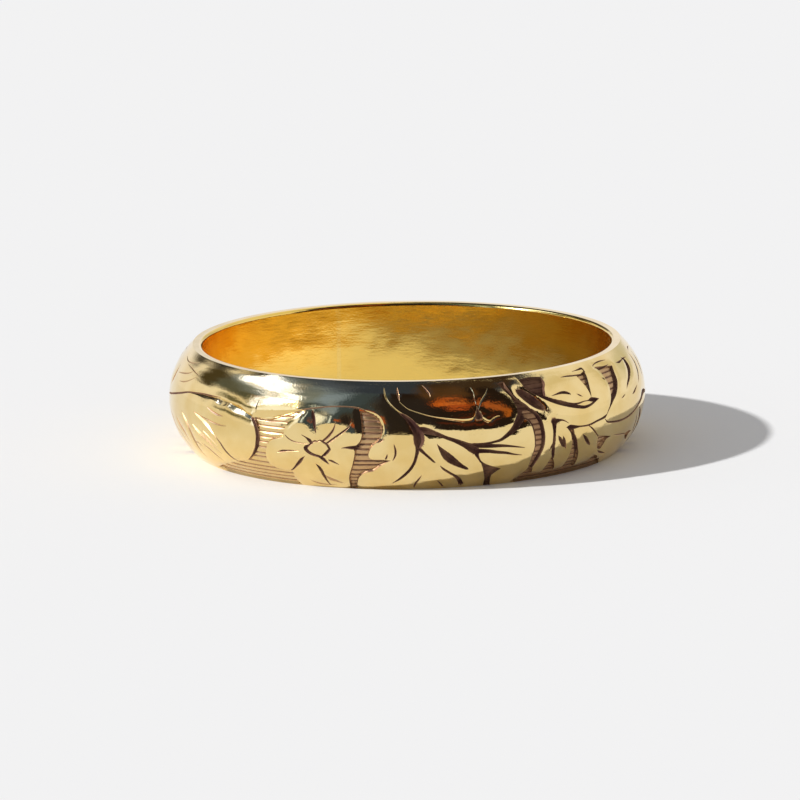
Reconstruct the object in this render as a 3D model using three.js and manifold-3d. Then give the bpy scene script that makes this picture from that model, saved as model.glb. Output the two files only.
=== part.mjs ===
// A wedding band: one strip of gold, flat inside and domed outside, bent into a ring
// and closed by a narrow solder joint. Millimetres. The finger hole runs along Z, and
// the origin is the middle of the lower rim, so the band lies flat on z = 0.

import * as THREE from "three";
import { mergeVertices } from "three/addons/utils/BufferGeometryUtils.js";
import Module from "manifold-3d";

// Driving dimensions
const INNER_RADIUS = 8.65; // finger hole, 17.3 mm across: a US size 7 ring
const BAND_WIDTH = 4.5; // rim to rim, along the finger
const CROWN_WALL = 1.45; // thickest wall, half way between the rims
const RIM_WALL = 0.4; // wall left at each flat rim
const INNER_EDGE = 0.15; // radius of the softened edge between hole and rim
const SEAM_WIDTH = 0.2; // solder between the two ends of the strip
const SEAM_CLEARANCE = 0.01; // fine gap kept between solder and strip on each side
const SEAM_DIRECTION = THREE.MathUtils.degToRad(110); // from +X towards +Y

// Facets
const RING_STEPS = 120;
const DOME_STEPS = 16;
const EDGE_STEPS = 3;

// Worked out from the driving dimensions
const HALF_WIDTH = BAND_WIDTH / 2;
const DOME_RISE = CROWN_WALL - RIM_WALL;
const DOME_RADIUS = (DOME_RISE ** 2 + HALF_WIDTH ** 2) / (2 * DOME_RISE);
const DOME_HALF_ANGLE = Math.asin(HALF_WIDTH / DOME_RADIUS);
const DOME_CENTRE = INNER_RADIUS + CROWN_WALL - DOME_RADIUS;

// Points on an arc in the section plane, x away from the finger's axis and y along it.
function arcPoints(centreX, centreY, radius, start, end, steps) {
  return Array.from({ length: steps + 1 }, (_, i) => {
    const angle = start + ((end - start) * i) / steps;
    return new THREE.Vector2(
      centreX + radius * Math.cos(angle),
      centreY + radius * Math.sin(angle),
    );
  });
}

// The strip's section, closed on itself: up the dome, across the upper rim, down the hole.
function bandSection() {
  const edgeX = INNER_RADIUS + INNER_EDGE;
  const points = [
    ...arcPoints(DOME_CENTRE, HALF_WIDTH, DOME_RADIUS, -DOME_HALF_ANGLE, DOME_HALF_ANGLE, DOME_STEPS),
    ...arcPoints(edgeX, BAND_WIDTH - INNER_EDGE, INNER_EDGE, Math.PI / 2, Math.PI, EDGE_STEPS),
    ...arcPoints(edgeX, INNER_EDGE, INNER_EDGE, Math.PI, 1.5 * Math.PI, EDGE_STEPS),
  ];
  points.push(points[0].clone());
  return points;
}

// The whole ring before it is split into strip and solder.
function ringGeometry() {
  return new THREE.LatheGeometry(bandSection(), RING_STEPS).rotateX(Math.PI / 2);
}

// A thin upright slab through the wall where the strip's ends meet.
function seamSlab(thickness) {
  const slab = new THREE.BoxGeometry(4 * CROWN_WALL, thickness, 2 * BAND_WIDTH);
  slab.translate(INNER_RADIUS + CROWN_WALL / 2, 0, HALF_WIDTH);
  return slab.rotateZ(SEAM_DIRECTION);
}

const wasm = await Module();
wasm.setup();

function solidFrom(geometry) {
  const bare = geometry.clone().deleteAttribute("normal").deleteAttribute("uv");
  const merged = mergeVertices(bare, 1e-4);
  return new wasm.Manifold(
    new wasm.Mesh({
      numProp: 3,
      vertProperties: merged.attributes.position.array,
      triVerts: new Uint32Array(merged.index.array),
    }),
  );
}

function geometryFrom(solid) {
  const { vertProperties, triVerts } = solid.getMesh();
  const geometry = new THREE.BufferGeometry();
  geometry.setAttribute("position", new THREE.BufferAttribute(vertProperties, 3));
  geometry.setIndex(new THREE.BufferAttribute(triVerts, 1));
  geometry.computeVertexNormals();
  return geometry;
}

function namedMesh(name, solid, color, roughness) {
  const material = new THREE.MeshStandardMaterial({ color, roughness, metalness: 1 });
  const mesh = new THREE.Mesh(geometryFrom(solid), material);
  mesh.name = name;
  return mesh;
}

const ring = solidFrom(ringGeometry());
const strip = ring.subtract(solidFrom(seamSlab(SEAM_WIDTH + 2 * SEAM_CLEARANCE)));
const solder = ring.intersect(solidFrom(seamSlab(SEAM_WIDTH)));

const weddingBand = new THREE.Group();
weddingBand.add(namedMesh("band", strip, 0xd9a441, 0.18));
weddingBand.add(namedMesh("solder_seam", solder, 0xd6ad5c, 0.25));

export default weddingBand;
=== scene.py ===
"""An engraved gold wedding band: its looks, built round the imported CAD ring.

The band's outside is drawn flat, in millimetres, and wrapped on the dome: u runs round the
ring from the middle of the front, positive to the right, and v runs up the dome's arc from
its crown. Leaves, petals and scrolls are left standing; a graver's cuts and the hatched
ground between them go down into the metal.
"""
import math

import bpy
import numpy as np
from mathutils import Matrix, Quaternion, Vector
from mathutils.geometry import delaunay_2d_cdt


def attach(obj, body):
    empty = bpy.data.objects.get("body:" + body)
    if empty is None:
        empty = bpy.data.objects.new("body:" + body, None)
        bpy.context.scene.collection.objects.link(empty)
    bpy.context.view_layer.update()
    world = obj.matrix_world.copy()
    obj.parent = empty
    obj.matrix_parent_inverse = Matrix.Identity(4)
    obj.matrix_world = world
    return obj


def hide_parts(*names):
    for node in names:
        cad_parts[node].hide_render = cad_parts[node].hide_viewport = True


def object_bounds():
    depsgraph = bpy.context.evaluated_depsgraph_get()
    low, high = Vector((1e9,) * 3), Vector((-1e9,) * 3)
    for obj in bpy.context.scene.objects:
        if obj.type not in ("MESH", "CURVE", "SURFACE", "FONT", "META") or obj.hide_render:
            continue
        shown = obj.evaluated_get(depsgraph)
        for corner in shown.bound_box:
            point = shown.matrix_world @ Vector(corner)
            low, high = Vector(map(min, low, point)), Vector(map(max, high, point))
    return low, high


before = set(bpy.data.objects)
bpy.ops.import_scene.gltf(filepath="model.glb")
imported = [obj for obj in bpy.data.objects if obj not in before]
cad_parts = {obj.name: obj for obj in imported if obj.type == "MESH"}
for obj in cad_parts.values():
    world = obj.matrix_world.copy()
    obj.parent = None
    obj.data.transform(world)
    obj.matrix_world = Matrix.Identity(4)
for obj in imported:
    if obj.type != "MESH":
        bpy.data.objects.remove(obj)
cad_low, cad_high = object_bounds()

MM = 0.001
TINY = 1e-6  # millimetres: points this close are one point, and no divisor is smaller

# ---------------- sizes, from the frame

LEVEL = 0.01  # points within this height of the floor lie on the lower rim

band_points = np.array([v.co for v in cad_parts["band"].data.vertices]) / MM
band_radii = np.hypot(band_points[:, 0], band_points[:, 1])
on_lower_rim = band_points[:, 2] < LEVEL
OUTER = float(band_radii.max())
INNER = float(band_radii.min())
WIDTH = cad_high.z / MM
RIM_OUTER = float(band_radii[on_lower_rim].max())  # where the flat rim meets the dome
RIM_INNER = float(band_radii[on_lower_rim].min())  # where it meets the softened inner edge

HALF_WIDTH = WIDTH / 2
DOME_RISE = OUTER - RIM_OUTER
DOME_RADIUS = (DOME_RISE**2 + HALF_WIDTH**2) / (2 * DOME_RISE)
DOME_CENTRE = OUTER - DOME_RADIUS
HALF_ARC = DOME_RADIUS * math.asin(HALF_WIDTH / DOME_RADIUS)
ROUND = 2 * math.pi * OUTER  # the crown's circumference
REPEATS = 2  # the pattern goes round the band twice
REPEAT = ROUND / REPEATS

seam_points = np.array([v.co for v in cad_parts["solder_seam"].data.vertices]) / MM
seam_middle = seam_points.mean(0)
seam_across = np.array([-seam_middle[1], seam_middle[0]]) / np.hypot(*seam_middle[:2])
SEAM_U = OUTER * (math.atan2(seam_middle[1], seam_middle[0]) + math.pi / 2)
SEAM_HALF = float(np.abs((seam_points[:, :2] - seam_middle[:2]) @ seam_across).max())
SEAM_CLEARANCE = 0.01  # the frame's fine gap on each side of the solder
FUSED = 0.001  # what the engraved solder leaves of it

# ---------------- the engraver's tools

CUT_WIDEN = 1.35  # every grimy cut is this much wider than it is listed
CUT_SLOPE = 0.75  # depth of a cut per millimetre in from its edge
CUT_DEPTH = 0.12  # a wide cut has a flat bottom at this depth
THINNEST = 0.004  # least half width of a cut
GROUND_DEPTH = 0.10  # down to the ridges between the hatch lines
GROUND_SLOPE = 2.0  # of the wall round a ground
HATCH_PITCH = 0.25  # from one hatch line to the next
HATCH_WIDTH = 0.12
HATCH_DEPTH = 0.03  # below the ridges
HATCH_WANDER = 0.03  # a hatch line is at most this far from its place
SHOULDER_REACH = 0.34  # polishing rounds the metal off this far beside a cut
SHOULDER_DEPTH = 0.026
FULL_SHOULDER = 0.13  # half width of a cut whose shoulders are fully rounded
KEEN_SHOULDER = 0.4  # share of SHOULDER_DEPTH at the edges of the dark hatched grounds
ROUND_SHOULDER = 1.5  # and at the edges of the light ones

FAINT_GRIME_AND_SHADE = 0.5  # grime held by the faint cuts; in the two beside the flower's lowest petal it is painted shade
WALL_GRIME = 0.09  # grime gathers this far in from a ground's edge
GRIME_AT = 0.006  # a cut this deep holds its full grime

# Filing and burnishing leave long, shallow waves in the surface.
WAVE_COUNT = 30
WAVE_SLOPE = 0.03
MOST_WAVES_ROUND = 12  # round the band, leaning either way
WAVES_ACROSS = (4, 26)  # radians in a millimetre across the band
WAVE_PHASES = (0, 6.28)  # radians, a full turn

# ---------------- the mesh's fineness

STEP = 0.07  # spacing of points along a cut
HATCH_STEP = 0.25  # spacing of points along the hatching
GRID = 0.09  # spacing of points on the open surface
STAGGER = 0.25  # rows of the grid are shifted by this much of it, right and left in turn
MARGIN = 0.3  # the drawing is followed this far past a piece's ends, then trimmed
RIM_GAP = 0.02  # the drawing's lines end this far from the dome's edges
RIM_FADE = 0.1  # its relief fades out over this distance from them
NARROW_BOTTOM = 0.01  # a cut's flat bottom gets lines of its own where it is wider than this
CORNER_INSET = 0.3  # a corner's normal is measured this share of the way to the face's middle
SLOPE_STEP = 0.001  # over which the surface's slope is measured
ON_EDGE = 1e-5  # a point this close to an edge of the drawing is on it
INNER_EDGE_STEPS = 5  # faces round each softened inner edge
HOLE_STEPS = 6  # faces down the hole
OUTSIDE_STRETCHES = 2  # the upper rim and the start of its soft edge have the outside's colour
CELL = 0.5  # depths are worked out in squares of the drawing of this size
CELL_KEYS = 1000  # more squares than the drawing has along v
CHUNK = 20000  # points compared with a ground's outline at a time

# ---------------- the drawing

# Grimy cuts: points (u, v, width), or (u, v, width to the left, width to the right) of the
# direction of travel.
FLOWER_CUTS = [
    [(-4.5, 0.1, 0.02), (-4.3, 0.0, 0.05), (-4.15, -0.12, 0.12), (-4.08, -0.2, 0.1)],
    [(-4.06, -0.24, 0.06), (-4.22, -0.34, 0.08), (-4.36, -0.46, 0.14), (-4.25, -0.62, 0.12),
     (-4.02, -0.74, 0.1), (-3.78, -0.8, 0.09), (-3.6, -0.92, 0.12), (-3.42, -1.1, 0.05)],
    [(-3.66, -0.8, 0.06), (-3.5, -0.68, 0.1), (-3.35, -0.52, 0.1), (-3.28, -0.44, 0.08),
     (-3.35, -0.3, 0.08), (-3.42, -0.2, 0.06)],
    [(-4.06, -0.22, 0.05), (-3.92, -0.12, 0.06), (-3.8, -0.14, 0.05), (-3.68, -0.08, 0.05),
     (-3.55, -0.14, 0.07), (-3.42, -0.22, 0.07)],
    [(-3.55, -0.1, 0.08), (-3.4, 0.02, 0.09), (-3.25, 0.18, 0.09), (-3.12, 0.35, 0.07),
     (-3.03, 0.55, 0.04), (-3.0, 0.7, 0.02)],
    [(-3.42, -0.22, 0.07), (-3.15, -0.02, 0.08), (-2.9, 0.17, 0.07), (-2.65, 0.35, 0.07),
     (-2.45, 0.52, 0.05), (-2.36, 0.66, 0.02)],
    [(-3.86, 0.22, 0.02), (-3.92, 0.45, 0.08), (-3.97, 0.7, 0.12), (-4.03, 0.95, 0.12),
     (-4.08, 1.12, 0.06)],
    [(-2.75, -0.36, 0.02), (-2.5, -0.33, 0.08), (-2.25, -0.33, 0.13), (-2.1, -0.32, 0.15)],
    [(-3.38, -0.93, 0.03), (-3.25, -0.97, 0.08), (-3.1, -1.04, 0.06), (-2.93, -1.12, 0.02)],
    [(-5.72, -0.76, 0.02), (-5.5, -0.69, 0.08), (-5.25, -0.65, 0.06), (-5.0, -0.63, 0.05),
     (-4.7, -0.62, 0.02)],
    [(-4.45, -0.85, 0.02), (-4.6, -0.98, 0.09), (-4.75, -1.15, 0.11), (-4.95, -1.35, 0.08),
     (-5.1, -1.5, 0.06), (-5.3, -1.66, 0.04)],
    [(-3.98, -1.17, 0.02), (-3.88, -1.3, 0.09), (-3.8, -1.5, 0.12), (-3.74, -1.8, 0.1),
     (-3.68, -2.1, 0.07), (-3.6, -2.4, 0.04)],
    [(-5.28, 0.02, 0.03), (-5.1, -0.12, 0.04), (-4.85, -0.22, 0.04), (-4.5, -0.26, 0.03),
     (-4.2, -0.26, 0.02)],
]
SCROLL_CUTS = [
    # the arch over the flower
    [(-4.9, 1.0, 0.02), (-4.5, 1.14, 0.04), (-4.1, 1.23, 0.04), (-3.5, 1.32, 0.04), (-3.0, 1.36, 0.04),
     (-2.5, 1.37, 0.04), (-2.1, 1.33, 0.05), (-1.8, 1.25, 0.03)],
    [(-0.57, -0.18, 0.03), (-0.52, -0.4, 0.07), (-0.52, -0.6, 0.07), (-0.58, -0.78, 0.05),
     (-0.65, -0.9, 0.02)],
    [(-0.86, -0.6, 0.02), (-0.88, -0.7, 0.06), (-0.93, -0.82, 0.06)],
    [(-1.25, -0.1, 0.02), (-1.12, -0.04, 0.06), (-1.0, 0.06, 0.02)],
    # the stem between scroll and leaves
    [(-0.35, 1.15, 0.03), (-0.15, 1.02, 0.11), (0.08, 0.82, 0.18), (0.28, 0.55, 0.25), (0.42, 0.3, 0.32),
     (0.46, 0.0, 0.34), (0.42, -0.3, 0.18), (0.36, -0.6, 0.11), (0.27, -0.95, 0.1), (0.1, -1.3, 0.1),
     (-0.15, -1.62, 0.1), (-0.42, -1.9, 0.08), (-0.68, -2.12, 0.03)],
]
LEAF_CUTS = [
    # the big upper leaf's lower edge, both ways from its foot
    [(0.45, 0.5, 0.08), (0.65, 0.42, 0.2), (0.9, 0.34, 0.19), (1.2, 0.24, 0.13), (1.6, 0.06, 0.11),
     (2.0, -0.1, 0.14), (2.4, -0.3, 0.2), (2.65, -0.44, 0.28), (2.85, -0.6, 0.24), (2.9, -0.78, 0.12),
     (3.0, -0.97, 0.07), (3.08, -1.1, 0.07)],
    [(2.55, -0.3, 0.1), (3.2, -0.3, 0.09), (3.6, -0.25, 0.08), (3.9, -0.19, 0.1), (4.15, -0.05, 0.13),
     (4.4, 0.12, 0.17), (4.6, 0.3, 0.22), (4.75, 0.5, 0.27), (4.9, 0.7, 0.3)],
    # its lobes and veins
    [(-0.45, 2.25, 0.03), (-0.41, 1.95, 0.07), (-0.35, 1.7, 0.03)],
    [(2.97, 1.25, 0.02), (2.98, 1.1, 0.1), (3.0, 0.95, 0.2), (3.01, 0.87, 0.26)],
    [(0.68, 2.35, 0.02), (0.82, 2.15, 0.06), (0.95, 1.95, 0.05), (0.98, 1.82, 0.02)],
    # the lower left leaf
    [(1.2, -0.2, 0.02), (1.35, -0.42, 0.12), (1.55, -0.68, 0.24), (1.75, -0.88, 0.27), (2.0, -1.08, 0.22),
     (2.25, -1.25, 0.15), (2.5, -1.4, 0.1), (2.57, -1.44, 0.04)],
    [(0.5, -0.4, 0.12), (0.7, -0.6, 0.09), (0.9, -0.8, 0.08), (1.08, -0.98, 0.06), (1.13, -1.02, 0.02)],
    [(1.36, -1.2, 0.03), (1.5, -1.36, 0.08), (1.8, -1.6, 0.09), (2.05, -1.8, 0.11), (2.25, -2.05, 0.15),
     (2.38, -2.35, 0.17)],
    [(0.56, -1.68, 0.02), (0.45, -1.9, 0.07), (0.33, -2.15, 0.08), (0.25, -2.4, 0.06)],
    [(1.25, -1.98, 0.02), (1.4, -2.2, 0.06), (1.55, -2.42, 0.06)],
    # the lower right leaf
    [(2.75, -0.33, 0.16), (3.1, -0.37, 0.15), (3.5, -0.41, 0.13), (4.0, -0.45, 0.1), (4.4, -0.51, 0.07),
     (4.75, -0.58, 0.05), (5.05, -0.64, 0.02)],
    [(2.8, -0.6, 0.18), (3.0, -0.6, 0.16), (3.4, -0.64, 0.13), (3.8, -0.72, 0.11), (4.2, -0.79, 0.09),
     (4.55, -0.89, 0.06), (4.95, -0.97, 0.02)],
]
BRANCH_CUTS = [
    [(4.92, 1.85, 0.04), (5.1, 1.7, 0.25), (5.35, 1.48, 0.33), (5.6, 1.25, 0.33), (5.8, 1.08, 0.28),
     (5.97, 0.95, 0.18), (6.07, 0.87, 0.03)],
    [(6.1, 0.84, 0.03), (6.17, 0.79, 0.08), (6.23, 0.77, 0.03)],
    # both sides of the wide groove
    [(4.95, 0.66, 0.05), (5.22, 0.52, 0.09), (5.4, 0.28, 0.09), (5.49, 0.0, 0.09), (5.56, -0.35, 0.09),
     (5.58, -0.7, 0.09), (5.53, -1.05, 0.09), (5.5, -1.35, 0.08), (5.46, -1.7, 0.07), (5.4, -2.15, 0.03)],
    [(5.02, 0.98, 0.05), (5.35, 0.94, 0.09), (5.6, 0.75, 0.1), (5.8, 0.42, 0.11), (5.91, 0.0, 0.11),
     (5.96, -0.35, 0.11), (5.95, -0.7, 0.1), (5.87, -1.05, 0.09), (5.76, -1.35, 0.08), (5.64, -1.7, 0.06),
     (5.45, -2.1, 0.03)],
    [(5.3, 1.98, 0.03), (5.6, 1.72, 0.08), (5.9, 1.52, 0.1), (6.3, 1.3, 0.13), (6.7, 1.12, 0.15),
     (7.1, 0.98, 0.17), (7.5, 0.84, 0.15), (7.9, 0.72, 0.12), (8.3, 0.64, 0.1), (8.7, 0.68, 0.08),
     (9.0, 0.77, 0.07), (9.3, 0.84, 0.02)],
    [(7.3, 0.98, 0.05), (7.7, 0.87, 0.06), (8.0, 0.85, 0.06), (8.3, 0.88, 0.04), (8.6, 0.87, 0.05),
     (8.8, 0.88, 0.14), (9.0, 0.86, 0.12), (9.3, 0.84, 0.02)],
    [(7.5, 2.1, 0.02), (7.9, 2.09, 0.06), (8.3, 2.05, 0.06), (8.7, 2.03, 0.05), (9.0, 2.02, 0.04)],
    [(8.4, 2.25, 0.02), (8.8, 2.27, 0.06), (9.08, 2.28, 0.08), (9.12, 2.1, 0.05)],
    [(6.62, 1.37, 0.02), (6.85, 1.4, 0.05), (7.15, 1.43, 0.09), (7.4, 1.4, 0.1), (7.58, 1.33, 0.07),
     (7.63, 1.29, 0.02)],
    [(8.03, 1.24, 0.02), (8.15, 1.17, 0.06), (8.28, 1.1, 0.02)],
    [(10.08, 1.62, 0.03), (10.18, 1.57, 0.07), (10.26, 1.5, 0.02)],
    [(11.45, 1.97, 0.05), (11.25, 1.68, 0.1), (11.12, 1.38, 0.14), (10.92, 1.1, 0.15),
     (10.65, 0.83, 0.13), (10.35, 0.62, 0.1), (10.1, 0.42, 0.07), (9.9, 0.27, 0.05), (9.75, 0.12, 0.03)],
    [(11.8, 0.82, 0.02), (12.05, 0.98, 0.08), (12.4, 1.15, 0.12), (12.75, 1.35, 0.18), (13.0, 1.55, 0.26),
     (13.12, 1.75, 0.25), (13.1, 1.92, 0.15), (12.9, 2.05, 0.04)],
    [(9.9, 2.25, 0.02), (10.3, 2.34, 0.05), (10.8, 2.35, 0.05), (11.2, 2.31, 0.02)],
    [(9.95, 2.14, 0.02), (10.3, 2.1, 0.06), (10.8, 2.07, 0.05), (11.2, 2.08, 0.02)],
    [(13.5, 0.75, 0.02), (13.95, 1.0, 0.09), (14.3, 1.35, 0.12), (14.4, 1.7, 0.08), (14.3, 2.0, 0.02)],
    [(12.0, 2.0, 0.03), (12.3, 1.96, 0.08), (12.7, 1.98, 0.05), (13.1, 2.0, 0.05), (13.5, 1.97, 0.02)],
    [(11.1, 0.53, 0.02), (11.3, 0.57, 0.05), (11.5, 0.63, 0.02)],
    [(12.3, 0.48, 0.02), (12.6, 0.53, 0.08), (12.9, 0.62, 0.06), (13.15, 0.7, 0.02)],
    [(9.6, -0.1, 0.03), (9.8, -0.25, 0.06), (10.2, -0.32, 0.07), (10.7, -0.38, 0.08), (11.2, -0.4, 0.08),
     (11.8, -0.37, 0.08), (12.4, -0.28, 0.08), (12.9, -0.17, 0.09), (13.4, -0.05, 0.12),
     (13.8, 0.05, 0.17), (14.1, 0.18, 0.2), (14.6, 0.17, 0.14), (15.1, 0.07, 0.1), (15.9, -0.05, 0.07),
     (16.4, -0.12, 0.02)],
    [(7.15, -0.05, 0.03), (7.35, -0.06, 0.14), (7.6, -0.1, 0.12), (7.9, -0.12, 0.06), (8.3, -0.15, 0.06),
     (8.6, -0.14, 0.07), (9.0, -0.07, 0.07), (9.4, -0.02, 0.08), (9.6, 0.02, 0.09), (9.74, 0.1, 0.03)],
    [(8.5, -0.2, 0.03), (8.7, -0.33, 0.06), (8.9, -0.5, 0.06), (9.1, -0.68, 0.05), (9.25, -0.8, 0.05)],
]
LOW_LEAF_CUTS = [
    [(6.42, 0.3, 0.12), (6.6, 0.3, 0.15), (6.8, 0.31, 0.08), (7.0, 0.27, 0.05), (7.25, 0.13, 0.02)],
    [(6.5, 0.3, 0.22), (6.5, 0.1, 0.16), (6.5, -0.2, 0.11), (6.51, -0.5, 0.12), (6.52, -0.85, 0.12),
     (6.58, -1.15, 0.13), (6.66, -1.35, 0.06)],
    [(6.47, -0.6, 0.05), (6.4, -0.8, 0.08), (6.33, -0.95, 0.03)],
    [(6.72, -0.36, 0.03), (6.82, -0.5, 0.12), (6.97, -0.7, 0.15), (7.1, -0.85, 0.12),
     (7.15, -0.92, 0.03)],
    [(6.97, -0.4, 0.02), (7.05, -0.57, 0.1), (7.13, -0.78, 0.1), (7.25, -1.02, 0.02)],
    [(7.2, -0.06, 0.04), (7.45, -0.3, 0.1), (7.68, -0.6, 0.12), (7.85, -0.95, 0.12), (8.0, -1.3, 0.1),
     (8.12, -1.7, 0.06)],
    [(8.13, -0.5, 0.02), (8.3, -0.66, 0.1), (8.5, -0.86, 0.13), (8.7, -1.04, 0.08), (8.76, -1.1, 0.02)],
    [(9.6, -1.55, 0.03), (9.85, -1.68, 0.08), (10.15, -1.78, 0.07), (10.5, -1.88, 0.02)],
    [(10.6, -0.98, 0.02), (11.0, -1.05, 0.05), (11.5, -1.12, 0.05), (11.85, -1.17, 0.05)],
]
SIDE_CUTS = [
    # small leaves at the sides, where the pattern meets its repeat
    [(12.9, -0.5, 0.02), (13.05, -0.75, 0.08), (13.15, -1.1, 0.1), (13.2, -1.5, 0.03)],
    [(13.35, -0.3, 0.05), (13.7, -0.55, 0.1), (14.0, -0.95, 0.12), (14.1, -1.5, 0.1),
     (14.05, -2.0, 0.05)],
    [(14.45, -0.55, 0.02), (14.7, -0.8, 0.12), (14.9, -1.15, 0.14), (15.0, -1.5, 0.03)],
    [(15.1, -0.15, 0.03), (15.4, -0.45, 0.1), (15.6, -0.9, 0.12), (15.65, -1.4, 0.1),
     (15.55, -1.9, 0.04)],
    [(14.8, 0.75, 0.02), (15.1, 1.0, 0.1), (15.3, 1.4, 0.14), (15.3, 1.8, 0.04)],
    [(14.7, 2.05, 0.02), (15.1, 2.12, 0.06), (15.5, 2.1, 0.02)],
    [(-15.4, -0.6, 0.02), (-15.15, -0.95, 0.12), (-15.0, -1.4, 0.14), (-15.0, -1.8, 0.03)],
]
BUD_CUTS = [
    # the bud's outline
    [(-15.4, 0.2, 0.03), (-14.8, 0.32, 0.06), (-14.3, 0.4, 0.07), (-13.4, 0.58, 0.07),
     (-12.5, 0.77, 0.07), (-11.8, 0.93, 0.06), (-11.2, 1.02, 0.05), (-10.5, 1.1, 0.05),
     (-9.8, 1.13, 0.04), (-9.2, 1.15, 0.02)],
    [(-7.05, 0.57, 0.06), (-6.9, 0.42, 0.1), (-6.78, 0.2, 0.1), (-6.72, -0.1, 0.1), (-6.75, -0.4, 0.1),
     (-6.85, -0.68, 0.09), (-7.0, -0.92, 0.08), (-7.2, -1.15, 0.06), (-7.5, -1.38, 0.02)],
    [(-9.3, -0.55, 0.03), (-9.05, -0.8, 0.07), (-8.9, -1.05, 0.08), (-8.7, -1.3, 0.08),
     (-8.45, -1.5, 0.06), (-8.25, -1.6, 0.03)],
]
CUTS = (FLOWER_CUTS + SCROLL_CUTS + LEAF_CUTS + BRANCH_CUTS + LOW_LEAF_CUTS + SIDE_CUTS
        + BUD_CUTS)

# Faint cuts hold less grime, and are as wide as they are listed. In the first two the brown of this grime
# is painted shade.
FAINT_CUTS = [
    # soft shade beside the flower's lowest petal
    [(-3.7, -1.75, 0.06), (-3.5, -1.95, 0.16), (-3.2, -2.1, 0.14), (-2.9, -2.2, 0.03)],
    [(-4.45, -2.1, 0.03), (-4.2, -2.3, 0.12), (-3.8, -2.38, 0.1), (-3.3, -2.35, 0.03)],
    # the bud's veins
    [(-10.95, 0.24, 0.03), (-10.5, 0.12, 0.16), (-10.1, -0.02, 0.2), (-9.75, -0.2, 0.18),
     (-9.45, -0.42, 0.08), (-9.28, -0.58, 0.05)],
    [(-10.3, 0.16, 0.02), (-9.8, 0.1, 0.07), (-9.3, 0.02, 0.09), (-8.8, 0.0, 0.05), (-8.5, 0.02, 0.02)],
    [(-11.1, -0.32, 0.03), (-10.75, -0.52, 0.16), (-10.4, -0.7, 0.2), (-10.0, -0.88, 0.16),
     (-9.6, -1.1, 0.07), (-9.2, -1.35, 0.03)],
    [(-10.2, -0.45, 0.02), (-9.9, -0.6, 0.08), (-9.6, -0.8, 0.08), (-9.3, -1.0, 0.02)],
    [(-9.9, 0.62, 0.02), (-9.5, 0.5, 0.09), (-9.1, 0.42, 0.1), (-8.7, 0.4, 0.02)],
    [(-10.6, -1.1, 0.03), (-10.2, -1.25, 0.12), (-9.8, -1.5, 0.12), (-9.4, -1.75, 0.03)],
    [(-14.6, -0.3, 0.03), (-14.2, -0.6, 0.14), (-13.8, -1.0, 0.12), (-13.5, -1.5, 0.03)],
    [(-12.2, -0.02, 0.03), (-11.85, -0.28, 0.16), (-11.6, -0.6, 0.2), (-11.45, -0.95, 0.22),
     (-11.35, -1.3, 0.2), (-11.15, -1.65, 0.1), (-10.9, -1.95, 0.02)],
    [(-11.35, -1.2, 0.03), (-11.0, -1.15, 0.08), (-10.6, -1.3, 0.02)],
    [(-13.2, -0.35, 0.03), (-12.8, -0.65, 0.16), (-12.4, -0.9, 0.18), (-12.1, -1.25, 0.04)],
    [(-13.6, -0.85, 0.03), (-13.1, -1.1, 0.09), (-12.7, -1.4, 0.08), (-12.4, -1.8, 0.02)],
    [(-14.9, 0.75, 0.03), (-14.75, 1.0, 0.22), (-14.6, 1.3, 0.22), (-14.5, 1.6, 0.03)],
    [(-13.3, 1.95, 0.02), (-12.6, 1.9, 0.05), (-11.9, 1.8, 0.05), (-11.4, 1.75, 0.02)],
    [(-14.3, 2.15, 0.02), (-13.7, 2.05, 0.06), (-12.9, 2.1, 0.06), (-12.2, 2.25, 0.02)],
    [(-14.1, 1.4, 0.02), (-13.4, 1.5, 0.07), (-12.6, 1.65, 0.07), (-12.0, 1.9, 0.02)],
    [(-13.3, 1.15, 0.02), (-12.6, 1.25, 0.07), (-12.0, 1.45, 0.06), (-11.5, 1.7, 0.02)],
]

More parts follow.
